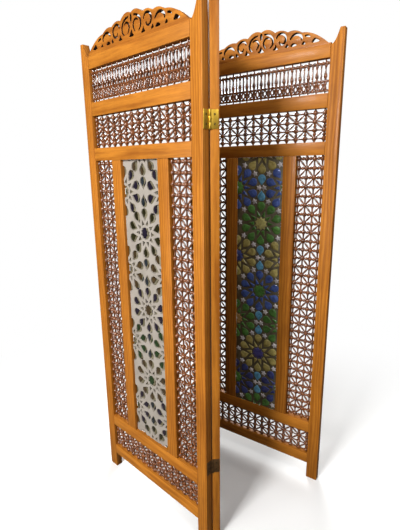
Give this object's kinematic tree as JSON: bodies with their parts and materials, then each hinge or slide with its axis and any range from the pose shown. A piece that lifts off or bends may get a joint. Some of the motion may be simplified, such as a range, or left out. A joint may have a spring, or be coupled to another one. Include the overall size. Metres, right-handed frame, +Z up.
{
  "type": "folding screen",
  "caption": "Folding wooden screen of hinged leaves with turned lattice grilles, pierced scroll crests and strips of patterned coloured glass, standing on its stiles.",
  "frame": {"origin": "centre of the bounding box at floor level, with the leaves folded as at rest", "axes": "+Z up, +X to the right and +Y away from someone who looks at the near fold"},
  "size_m": [0.9382, 0.6464, 1.8449],
  "materials": {
    "frame_wood": "oiled honey-brown wood, satin",
    "turned_wood": "reddish-brown turned wood, satin",
    "tracery_plaster": "off-white cast tracery, matt",
    "stained_glass": "coloured glass pieces in a dark bed",
    "hinge_brass": "plain brass"
  },
  "bodies": {
    "leaf_a": {"a_band": "turned_wood", "a_base_band": "turned_wood", "a_crest": "frame_wood", "a_hinge_high": "hinge_brass", "a_hinge_low": "hinge_brass", "a_muntin_left": "frame_wood", "a_muntin_right": "frame_wood", "a_pane": "stained_glass", "a_rail_band": "frame_wood", "a_rail_foot": "frame_wood", "a_rail_mid": "frame_wood", "a_rail_sill": "frame_wood", "a_rail_top": "frame_wood", "a_spindles": "turned_wood", "a_stile_left": "frame_wood", "a_stile_right": "frame_wood", "a_strip_left": "turned_wood", "a_strip_right": "turned_wood", "a_tracery": "tracery_plaster"},
    "leaf_b": {"b_band": "turned_wood", "b_base_band": "turned_wood", "b_crest": "frame_wood", "b_far_hinge_high": "hinge_brass", "b_far_hinge_low": "hinge_brass", "b_muntin_left": "frame_wood", "b_muntin_right": "frame_wood", "b_near_hinge_high": "hinge_brass", "b_near_hinge_low": "hinge_brass", "b_pane": "stained_glass", "b_rail_band": "frame_wood", "b_rail_foot": "frame_wood", "b_rail_mid": "frame_wood", "b_rail_sill": "frame_wood", "b_rail_top": "frame_wood", "b_spindles": "turned_wood", "b_stile_left": "frame_wood", "b_stile_right": "frame_wood", "b_strip_left": "turned_wood", "b_strip_right": "turned_wood", "b_tracery": "tracery_plaster"},
    "leaf_c": {"c_band": "turned_wood", "c_base_band": "turned_wood", "c_crest": "frame_wood", "c_hinge_high": "hinge_brass", "c_hinge_low": "hinge_brass", "c_muntin_left": "frame_wood", "c_muntin_right": "frame_wood", "c_pane": "stained_glass", "c_rail_band": "frame_wood", "c_rail_foot": "frame_wood", "c_rail_mid": "frame_wood", "c_rail_sill": "frame_wood", "c_rail_top": "frame_wood", "c_spindles": "turned_wood", "c_stile_left": "frame_wood", "c_stile_right": "frame_wood", "c_strip_left": "turned_wood", "c_strip_right": "turned_wood", "c_tracery": "tracery_plaster"}
  },
  "joints": [
    {"name": "leaf_a_fold", "type": "hinge", "parent": "leaf_b", "child": "leaf_a", "pos_m": [-0.0216, -0.30495, 1], "axis": [0, 0, 1], "range_deg": [-40.5, 139]},
    {"name": "leaf_c_fold", "type": "hinge", "parent": "leaf_b", "child": "leaf_c", "pos_m": [-0.03858, 0.30153, 1], "axis": [0, 0, 1], "range_deg": [-50, 129.5]}
  ]
}
